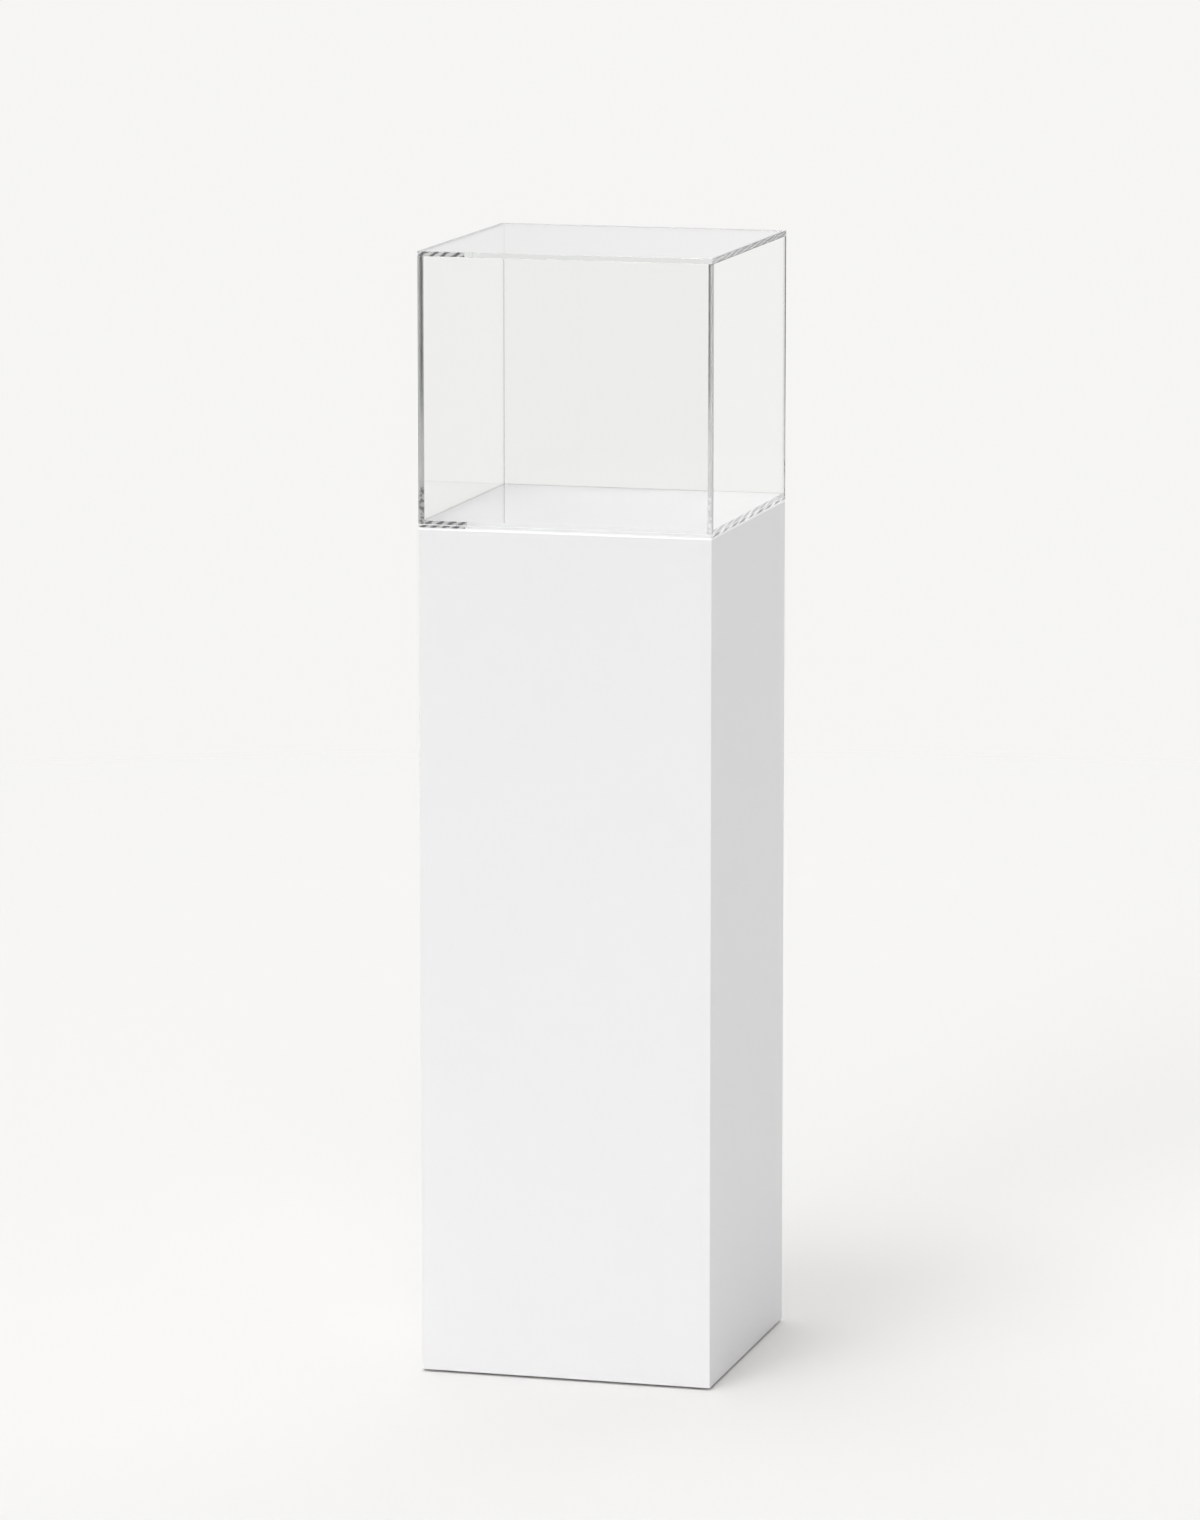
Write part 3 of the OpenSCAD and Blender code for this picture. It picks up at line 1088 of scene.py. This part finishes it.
@dataclass
class LevellingFeet:
    """Four nylon pads with a hexagonal collar, each moulded round a threaded stem.

    Attributes:
        pad_radius: The radius of a pad.
        pad_height: The height of a pad, without its collar.
        collar_flats: Half the width of the collar across its flats.
        collar_top: The height of the top of the collar.
        stem_radius: The radius of a stem, over its thread.
        stem_low: The height of the lower end of a stem, inside its pad.
        stem_high: The height of the upper end.
        pitch: The pitch of the thread.
        rim_edge: The radius of the pad's rim.
        boss: The radius of the boss in the middle of the underside, as a share of the pad's.
        hollow: The same for the hollow round it.
        hollow_depth: How deep the hollow is.
        draft: How far the sides of the hollow slope.
        shoulder: How far the pad slopes up to the collar.
        shoulder_rise: How high that slope is.
        collar_bend: The radius of the collar's edges.
        collar_sides: How many sides the collar has.
        steps: How many points the pad has round a corner of the collar.
    """

    pad_radius: float
    collar_top: float
    stem_radius: float
    stem_low: float
    stem_high: float
    pad_height: float = 5 * MM
    collar_flats: float = 8.5 * MM
    pitch: float = 1.25 * MM
    rim_edge: float = 0.8 * MM
    boss: float = 0.3
    hollow: float = 0.72
    hollow_depth: float = 0.8 * MM
    draft: float = 0.3 * MM
    shoulder: float = 2 * MM
    shoulder_rise: float = 0.6 * MM
    collar_bend: float = 0.5 * MM
    collar_sides: int = 6
    steps: int = 8

    @classmethod
    def from_frame(cls) -> "LevellingFeet":
        """Returns the feet in the sizes of the frame."""
        pad_low, pad_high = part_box("foot_pad_front_left")
        stem_low, stem_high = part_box("foot_stem_front_left")
        return cls(
            pad_radius=(pad_high.x - pad_low.x) / 2,
            collar_top=pad_high.z,
            stem_radius=(stem_high.x - stem_low.x) / 2,
            stem_low=stem_low.z,
            stem_high=stem_high.z,
        )

    def pad_surface(self) -> Surface:
        """Makes a pad: a ring that stands on the floor, a rounded rim and a hexagonal collar.

        Returns:
            The closed surface, about the foot's own axis.
        """
        rim, soft, draft, depth = self.pad_radius, self.rim_edge, self.draft, self.hollow_depth
        boss, hollow = self.boss * rim, self.hollow * rim
        flats, bend = self.collar_flats, self.collar_bend
        shoulder = flats + self.shoulder
        underside = [
            (boss, 0.0), (boss + draft, depth), (hollow, depth), (hollow + draft, 0.0),
            (rim - soft, 0.0), (rim, soft),
        ]
        rim_rows = eased(rim - soft, self.pad_height - soft, soft, 0, 90, 0.0)
        rows = [(reach, height, reach) for reach, height in underside]
        rows += [(reach, height, reach) for reach, height, _ in rim_rows]
        rows += [
            (shoulder, self.pad_height, shoulder),
            (flats, self.pad_height + self.shoulder_rise, bend),
            *eased(flats - bend, self.collar_top - bend, bend, 0, 90, bend),
            (self.stem_radius, self.collar_top, self.stem_radius),
            (self.stem_radius, self.stem_low, self.stem_radius),
        ]
        return turned_block(Profile.through(rows), self.collar_sides, self.steps)

    def stem_surface(self) -> Surface:
        """Returns a stem with its thread, about the foot's own axis."""
        return screw_thread(
            self.stem_radius, self.stem_low, self.stem_high, self.pitch, columns=24, rows_a_turn=8
        )

    def build(self, nylon: bpy.types.Material, zinc: bpy.types.Material) -> None:
        """Adds the four pads and stems, each on its own foot's axis."""
        pad, stem = self.pad_surface(), self.stem_surface()
        for corner in Corner:
            node = f"foot_pad_{corner.value}"
            low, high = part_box(node)
            x, y = (low.x + high.x) / 2, (low.y + high.y) / 2
            body = f"foot_{corner.value}"
            add_piece(f"nylon_pad_{corner.value}", pad.moved(x, y), nylon,
                      body, node)
            add_piece(f"threaded_stem_{corner.value}", stem.moved(x, y), zinc,
                      body, f"foot_stem_{corner.value}")


@dataclass
class ClearCase:
    """The clear base plate and the clear cover: four walls and a top.

    Attributes:
        half: Half the width of the case.
        wall: The thickness of the walls.
        low: The height of the underside of the base plate.
        rim: The height of the plate's rim, where the walls stand.
        deck: The height of the deck.
        top: The height of the top of the case.
        arris: The radius of the polished edges.
        deck_arris: The radius of the deck's edge.
        rim_arris: The radius of the rim's edges, and of the corner at the foot of the deck.
        bond_inset: How far the white bond below the plate stays back from its edges.
        bond_highlight_rise: How far up the plate's edge the white shows, as a painted highlight
            along its foot.
        bond_gap: How far the plate stays above the board.
        joint: How far a sheet stays back from the sheet that it is bonded to.
        start: How far the painted stripes reach in from the left end of an edge.
        stripe_pitch: The distance from one painted stripe to the next along the right edge.
        stripe_rise: The same up the edge of the top sheet.
        deck_rise: The same up the edge of the plate.
        beat: The length of the wave that makes the stripes uneven, in pitches.
        beat_share: How strong that wave is beside the stripes.
        beat_shift: How far it is shifted, in radians.
        mark_level: The level of the two waves below which a face lies in a stripe.
        dark_above: The height above which the joints at the ends of the walls are darkest.
        speck_reach: How far up from the rim those joints have specks.
        between: How many points the edges of the plate and the top have between corners.
        layers: How many steps there are up an edge.
        steps: How many points a rounded edge has.
        root_steps: How many points the corner at the foot of the deck has.
    """

    half: float
    wall: float
    low: float
    rim: float
    deck: float
    top: float
    arris: float = 0.4 * MM
    deck_arris: float = 0.5 * MM
    rim_arris: float = 0.1 * MM
    bond_inset: float = 3.0 * MM
    bond_highlight_rise: float = 0.5 * MM
    bond_gap: float = 0.02 * MM
    joint: float = 0.05 * MM
    start: float = 56.0 * MM
    stripe_pitch: float = 41.0 * MM
    stripe_rise: float = 4.2 * MM
    deck_rise: float = 6.5 * MM
    beat: float = 2.7
    beat_share: float = 0.35
    beat_shift: float = 1.0
    mark_level: float = 0.15
    dark_above: float = 1.2
    speck_reach: float = 40.0 * MM
    between: int = 99
    layers: int = 6
    steps: int = 5
    root_steps: int = 3

    @classmethod
    def from_frame(cls) -> "ClearCase":
        """Returns the case in the sizes of the frame."""
        (low, high), (wall_low, wall_high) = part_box("case_base"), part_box("case_front")
        return cls(
            half=high.x, wall=wall_high.y - wall_low.y, low=low.z, rim=wall_low.z,
            deck=high.z, top=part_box("case_top")[1].z,
        )

    def wall_surface(self, node: str, joints: Sequence[int]) -> Surface:
        """Makes one wall.

        Args:
            node: The node that it stands for.
            joints: 1 for each axis on which both faces are joints, and 0 elsewhere.

        Returns:
            The closed surface.
        """
        low, high = (np.array(corner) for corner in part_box(node))
        back = self.joint * np.array(joints)
        return rounded_slab(low + back, high - back, self.arris)

    def edge_rows(self, reach: float, low: float, high: float, soft: float) -> list[Row]:
        """Makes the rows of a rounded edge between two heights.

        Args:
            reach: How far the edge lies from the middle.
            low: The lower height.
            high: The upper height.
            soft: The radius of its two arrises.

        Returns:
            The rows, from the underside to the upper side.
        """
        return [
            *eased(reach - soft, low + soft, soft, -90, 0, self.arris, self.steps),
            *upright(reach, low + soft, high - soft, self.arris, self.layers),
            *eased(reach - soft, high - soft, soft, 0, 90, self.arris, self.steps),
        ]

    def top_surface(self) -> Surface:
        """Returns the top sheet, a square with rounded edges."""
        rows = self.edge_rows(self.half, self.top - self.wall, self.top, self.arris)
        return turned_block(Profile.through(rows), len(Side), self.steps, self.between)

    def plate_surface(self) -> Surface:
        """Makes the base plate: a thin rim, and a raised deck inside it.

        Returns:
            The closed surface.
        """
        rim, deck = self.rim - self.joint, self.half - self.wall - REBATE_GAP
        sharp, soft = self.rim_arris, self.deck_arris
        rows = [
            (self.half - self.bond_inset, self.low + self.bond_gap, self.arris),
            *self.edge_rows(self.half, self.low + self.bond_gap, rim, sharp),
            *eased(deck + sharp, rim + sharp, sharp, 270, 180, soft, self.root_steps),
            *upright(deck, rim + sharp, self.deck - soft, soft, self.layers),
            *eased(deck - soft, self.deck - soft, soft, 0, 90, soft),
        ]
        return turned_block(Profile.through(rows), len(Side), self.steps, self.between)

    def at_start(self, middle: np.ndarray, normal: np.ndarray) -> np.ndarray:
        """Returns which faces lie at the left end of a front edge."""
        return (normal[:, 1] < -SQUARE) & (middle[:, 0] < self.start - self.half)

    def at_front(self, _: np.ndarray, normal: np.ndarray) -> np.ndarray:
        """Returns which faces look to the front."""
        return normal[:, 1] < -SQUARE

    def at_right(self, _: np.ndarray, normal: np.ndarray) -> np.ndarray:
        """Returns which faces look to the right."""
        return normal[:, 0] > SQUARE

    def at_bond_and_highlight(self, middle: np.ndarray, normal: np.ndarray) -> np.ndarray:
        """Returns the white faces: the bond on most of the underside, and a painted highlight low
        on the edge.
        """
        inside = np.abs(middle[:, :2]).max(axis=1) < self.half - self.bond_inset
        rim = (np.abs(normal[:, 2]) < LEANING) & (middle[:, 2] < self.low + self.bond_highlight_rise)
        return inside & (normal[:, 2] < -SQUARE) | rim

    def at_lower_arris(self, _: np.ndarray, normal: np.ndarray) -> np.ndarray:
        """Returns which faces lie on the arris round an underside."""
        return (normal[:, 2] < -LEANING) & (normal[:, 2] > -SQUARE)

    def at_far_deck_edge(self, middle: np.ndarray, normal: np.ndarray) -> np.ndarray:
        """Returns which faces lie on the edge of the deck, at the left and the back."""
        far = (normal[:, 1] > LEANING) | (normal[:, 0] < -LEANING)
        return far & (np.abs(middle[:, :2]).max(axis=1) < self.half - self.wall)

    def at_side_stripes(self, middle: np.ndarray, normal: np.ndarray) -> np.ndarray:
        """Returns which faces of a right edge lie in one of the painted slanting stripes.

        A face does where a wave is low. The wave runs back along the edge and down it at
        once, and a longer wave along the edge makes the stripes uneven.
        """
        _, y, z = middle.T
        wave = np.sin(2 * math.pi * (y / self.stripe_pitch - z / self.deck_rise))
        beat = 2 * math.pi * y / (self.beat * self.stripe_pitch) + self.beat_shift
        wave += self.beat_share * np.sin(beat)
        return (normal[:, 0] > SQUARE) & (wave < self.mark_level)

    def wall_ends(self) -> dict[Side, "JointFace | CutFace"]:
        """Returns the finishes of the ends of the walls, most of them painted shade and
        highlights.
        """
        places = {
            "inside": self.half - self.wall, "outside": self.half,
            "dark_above": self.dark_above, "specks_below": self.rim + self.speck_reach,
        }
        # Stops of painted shade across the walls' ends, darker above and paler near the rim
        left = ((0.0, 0.5), (0.18, 0.27), (0.33, 0.12), (0.46, 0.12), (0.6, 0.22), (0.78, 0.43),
                (1.0, 0.58))
        left_low = ((0.0, 0.47), (0.5, 0.53), (1.0, 0.63))
        right = ((0.0, 0.4), (0.15, 0.2), (0.3, 0.3), (0.46, 0.5), (0.66, 0.72), (0.8, 0.6),
                 (1.0, 0.6))
        right_low = ((0.0, 0.72), (0.5, 0.78), (1.0, 0.73))
        return {
            Side.LEFT: JointFace("bonded end, left, painted shade", left, left_low, pale_below=1.08, **places),
            Side.RIGHT: JointFace("bonded end, right", right, right_low, pale_below=1.1,
                                  speck=0.85, speck_grey=0.97, **places),
            Side.FRONT: CutFace("cut end of the front wall", level=0.76),
            Side.BACK: JointFace("cut end of the back wall, painted shade", ((1.0, 0.2),), ((1.0, 0.6),),
                                 pale_below=1.06, speck=0.8, speck_grey=0.15, **places),
        }

    def build_plate(self, clear: bpy.types.Material, end_stripes: bpy.types.Material) -> None:
        """Adds the base plate with its bond, lit arris, painted highlight, painted stripes and
        shade.

        Args:
            clear: The finish of the clear sheets.
            end_stripes: The finish of the painted stripes at the left ends of the edges.
        """
        # White bond under the plate, and a low white band up its edge that is a painted highlight
        bond = CutFace("white bond below the base plate", level=0.97, cloud=0.01).material()
        arris = CutFace("lit arris of the base plate", level=0.8, glow=0.8).material()
        # Painted light and dark stripes on the plate's right edge
        side_stripes = CutFace("painted stripes on the base plate's edge", level=0.48, cloud=0.08).material()
        # The far edges of the deck get a dark grey: painted shade, seen through the walls
        deck_edge_shade = CutFace("painted shade on the deck's edge", level=0.16).material()
        plate = add_piece("clear_base_plate", self.plate_surface(), clear,
                          "plinth", "case_base")
        trim(plate, bond, self.at_bond_and_highlight)
        trim(plate, arris, self.at_lower_arris)
        trim(plate, end_stripes, self.at_start)
        trim(plate, side_stripes, self.at_side_stripes)
        trim(plate, deck_edge_shade, self.at_far_deck_edge)

    def build_walls(self, clear: bpy.types.Material) -> None:
        """Adds the four walls. The side walls stand between the front and back walls.

        Args:
            clear: The finish of the clear sheets.
        """
        ends = self.wall_ends()
        # An opaque grey on each wall's lower arris, with a painted glow
        arris = CutFace("lit arris of a wall", level=0.8, glow=0.3).material()
        for side in (Side.FRONT, Side.BACK, Side.LEFT, Side.RIGHT):
            node = f"case_{side.word}"
            inner = side in (Side.LEFT, Side.RIGHT)
            surface = self.wall_surface(node, (0, 1, 1) if inner else (0, 0, 1))
            wall = add_piece(f"clear_{side.word}_wall", surface, clear, "cover",
                             node)
            trim(wall, arris, self.at_lower_arris)
            trim(wall, ends[side].material(), self.at_front if inner else self.at_right)

    def build_top(self, clear: bpy.types.Material, end_stripes: bpy.types.Material) -> None:
        """Adds the top sheet with painted stripes on its edges.

        Args:
            clear: The finish of the clear sheets.
            end_stripes: The finish of the painted stripes at the left ends of the edges.
        """
        # Painted light and dark stripes on the top sheet's right edge, darker towards the back as
        # painted shade
        side_stripes = PaintedEdgeStripes(
            "painted stripes on the top sheet", along="Y", dark=(0.45, 0.45, 0.47), pale=(0.9, 0.9, 0.9),
            pitch=self.stripe_pitch, rise=-self.stripe_rise, waver=1.8, grain=30.0, falling=1.2,
        )
        top = add_piece("clear_top_sheet", self.top_surface(), clear, "cover",
                        "case_top")
        trim(top, end_stripes, self.at_start)
        trim(top, side_stripes.material(), self.at_right)

    def build(self, clear: bpy.types.Material) -> None:
        """Adds the base plate to the plinth, and the five sheets of the cover.

        Args:
            clear: The finish of the clear sheets.
        """
        # Painted reflection stripes, dark and pale, at the left ends of the front edges
        end_stripes = PaintedEdgeStripes().material()
        self.build_plate(clear, end_stripes)
        self.build_walls(clear)
        self.build_top(clear, end_stripes)


# ---------------------------------------------------------------------------------------
# The studio
# ---------------------------------------------------------------------------------------


def direction(azimuth: float, height: float) -> np.ndarray:
    """Returns the way to a point of the sky, from degrees right of the front and degrees up."""
    turn, lift = math.radians(azimuth), math.radians(height)
    return np.array([
        math.sin(turn) * math.cos(lift), -math.cos(turn) * math.cos(lift), math.sin(lift)
    ])


def toward(g: Graph, way: Signal, azimuth: float, height: float) -> Signal:
    """Returns the cosine of the angle between a ray and the way to a point of the sky."""
    point = tuple(direction(azimuth, height))
    product = g.node("ShaderNodeVectorMath", {"operation": "DOT_PRODUCT"}, {0: way, 1: point})
    return product["Value"]


@dataclass(frozen=True)
class Lamp:
    """A round soft lamp in the sky of the studio.

    Attributes:
        azimuth: How far it stands to the right of the front, in degrees.
        height: How far it stands above the horizon, in degrees.
        level: How much it adds to the sky.
        core: Out to how many degrees from its middle it keeps its full level.
        edge: How many degrees from its middle it ends.
    """

    azimuth: float
    height: float
    level: float
    core: float = 5.0
    edge: float = 38.0

    def glow(self, g: Graph, way: Signal) -> Signal:
        """Returns what the lamp adds to the sky, in the direction of a ray."""
        full, none = math.cos(math.radians(self.core)), math.cos(math.radians(self.edge))
        return self.level * g.smooth(toward(g, way, self.azimuth, self.height), none, full)


@dataclass(frozen=True)
class Flag:
    """A board beside the light that takes light away from a part of the sky.

    Attributes:
        azimuth: How far its middle stands to the right of the front, in degrees.
        half_width: Half its width, in degrees.
        low: The height of its lower edge above the horizon, in degrees.
        high: The height of its upper edge.
        share: The share of the light that it takes away.
        blur: How many degrees its soft edges take.
    """

    azimuth: float
    half_width: float
    low: float
    high: float
    share: float
    blur: float = 4.0

    def shade(self, g: Graph, way: Signal) -> Signal:
        """Returns the share of the sky that is left, in the direction of a ray."""
        height = g.node("ShaderNodeSeparateXYZ", None, {"Vector": way})["Z"]
        steps = np.radians([
            self.half_width + self.blur, self.half_width,
            self.low - self.blur, self.low, self.high, self.high + self.blur,
        ])
        rim, edge = np.cos(steps[:2])
        under, low, high, over = np.sin(steps[2:])
        across = g.smooth(toward(g, way, self.azimuth, 0.0), rim, edge)
        upright = g.smooth(height, under, low) - g.smooth(height, high, over)
        return 1 - self.share * (across * upright)


@dataclass
class Studio:
    """The pale floor, the soft light and the camera.

    Attributes:
        lens: The focal length, in millimetres.
        sensor: The width of the sensor, in millimetres.
        yaw: How far the camera stands to the right of the front, in degrees.
        pitch: How far it looks down, in degrees.
        distance: How far it stands from the point that it looks at.
        aim_right: How far that point lies to the right of the middle, across the view.
        aim_height: The height of that point.
        sight: How far the camera sees.
        floor_radius: The radius of the floor.
        floor_core: The radius of its innermost ring of points.
        floor_rings: How many rings of points it has.
        floor_columns: How many points a ring has.
        backdrop: What the camera sees behind the object.
        fill: The level of the even light of the sky.
        ground: The level of what lies below the horizon, past the floor.
        warmth: How much of the blue the ground lacks, as a share.
        horizon_blur: How softly the sky meets it.
        bounces: How many surfaces and clear sheets a path of light may cross.
        glossy_bounces: How many mirrorings it may have.
        lamps: The soft lamps.
        flags: A dark board low before the case, and the dim ground below it.
    """

    lens: float = 174.65
    sensor: float = 36.0
    yaw: float = 15.26
    pitch: float = 9.63
    distance: float = 8.6885
    aim_right: float = -0.0051
    aim_height: float = 0.7095
    sight: float = 100.0
    floor_radius: float = 6.0
    floor_core: float = 0.4
    floor_rings: int = 24
    floor_columns: int = 64
    backdrop: tuple[float, float, float] = (0.9208, 0.916, 0.9045)
    fill: float = 0.12
    ground: float = 0.9
    warmth: float = 0.02
    horizon_blur: float = 0.02
    bounces: int = 40
    glossy_bounces: int = 32
    lamps: tuple[Lamp, ...] = (
        Lamp(-15.0, 20.0, 7.97, core=3.0, edge=16.0),
        Lamp(-30.0, 65.0, 5.33, core=3.0, edge=16.0),
        Lamp(-75.0, 65.0, 1.28, core=3.0, edge=16.0),
        Lamp(15.0, 35.0, 2.55, core=3.0, edge=16.0),
        Lamp(60.0, 45.0, 0.34),
        Lamp(0.0, 90.0, 1.69),
        Lamp(180.0, 20.0, 0.91),
        Lamp(-140.0, 50.0, 0.93),
        Lamp(140.0, 50.0, 0.27),
    )
    flags: tuple[Flag, ...] = (
        Flag(-15.0, half_width=24.0, low=0.0, high=14.0, share=0.88),
        Flag(-15.0, half_width=40.0, low=-30.0, high=-1.0, share=0.4),
    )

    def add_camera(self) -> None:
        """Adds the camera at the angle of the photograph."""
        back = direction(self.yaw, self.pitch)
        right = np.array([-back[1], back[0], 0.0]) / math.hypot(back[0], back[1])
        up = np.cross(back, right)
        eye = right * self.aim_right + np.array([0, 0, self.aim_height]) + back * self.distance
        data = bpy.data.cameras.new("camera")
        data.lens = self.lens
        data.sensor_width = self.sensor
        data.clip_end = self.sight
        camera = bpy.data.objects.new("camera", data)
        columns = np.column_stack([right, up, back, eye])
        camera.matrix_world = Matrix(np.vstack([columns, [0, 0, 0, 1]]).tolist())
        bpy.context.scene.collection.objects.link(camera)
        bpy.context.scene.camera = camera

    def add_floor(self, paper: bpy.types.Material) -> None:
        """Adds the round floor: rings of points whose radius grows by a fixed share."""
        rings, columns = self.floor_rings, self.floor_columns
        radius = np.geomspace(self.floor_core, self.floor_radius, rings)[:, None]
        angle = np.linspace(0, 2 * math.pi, columns, endpoint=False)[None, :]
        x, y = radius * np.cos(angle), radius * np.sin(angle)
        points = np.stack([x, y, x * 0], axis=2).reshape(-1, 3)
        mesh = bpy.data.meshes.new("studio_floor")
        faces = grid_faces(rings, columns, False, True) + [list(range(columns))]
        mesh.from_pydata(points, [], faces)
        mesh.materials.append(paper)
        floor = bpy.data.objects.new("studio_floor", mesh)
        bpy.context.scene.collection.objects.link(floor)

    def light(self) -> None:
        """Lights the scene from the sky and the ground, with the lamps and the flags."""
        world = bpy.data.worlds.new("studio")
        bpy.context.scene.world = world
        world.use_nodes = True
        g = Graph(world.node_tree)
        way = g.node("ShaderNodeTexCoord")["Generated"]
        height = g.node("ShaderNodeSeparateXYZ", None, {"Vector": way})["Z"]
        above = g.smooth(height, -self.horizon_blur, self.horizon_blur)
        lit = self.fill - self.ground + sum((lamp.glow(g, way) for lamp in self.lamps), 0.0)
        sky = self.ground + above * lit
        for flag in self.flags:
            sky = sky * flag.shade(g, way)
        blue = sky * (1 - self.warmth * (1 - above))
        parts = {"Red": sky, "Green": sky, "Blue": blue}
        shade = g.node("ShaderNodeCombineColor", None, parts)
        seen = g.node("ShaderNodeLightPath")["Is Camera Ray"]
        colour = g.mix(seen, shade["Color"], solid(self.backdrop))
        shader = g.node("ShaderNodeBackground", None, {"Color": colour})["Background"]
        g.node("ShaderNodeOutputWorld", None, {"Surface": shader})

    def set_render(self) -> None:
        """Sets how colours are shown, and lets light cross many clear sheets."""
        scene = bpy.context.scene
        scene.view_settings.view_transform = "Standard"
        scene.cycles.max_bounces = self.bounces
        scene.cycles.transmission_bounces = self.bounces
        scene.cycles.glossy_bounces = self.glossy_bounces
        scene.cycles.blur_glossy = 0.0

    def build(self) -> None:
        """Adds the camera, the floor and the light."""
        self.add_camera()
        self.add_floor(StudioPaper().material())
        self.light()
        self.set_render()
        log.info("built the studio")


def main() -> None:
    """Builds the studio and the case, piece by piece."""
    logging.basicConfig(level=logging.INFO, format="%(message)s")
    Studio().build()
    zinc = BrightZinc().material()
    Plinth.from_frame().build(WhiteLacquer().material())
    Carcass().build(zinc)
    LevellingFeet.from_frame().build(MouldedNylon().material(), zinc)
    ClearCase.from_frame().build(ClearSheet().material())


if __name__ == "__main__":
    main()
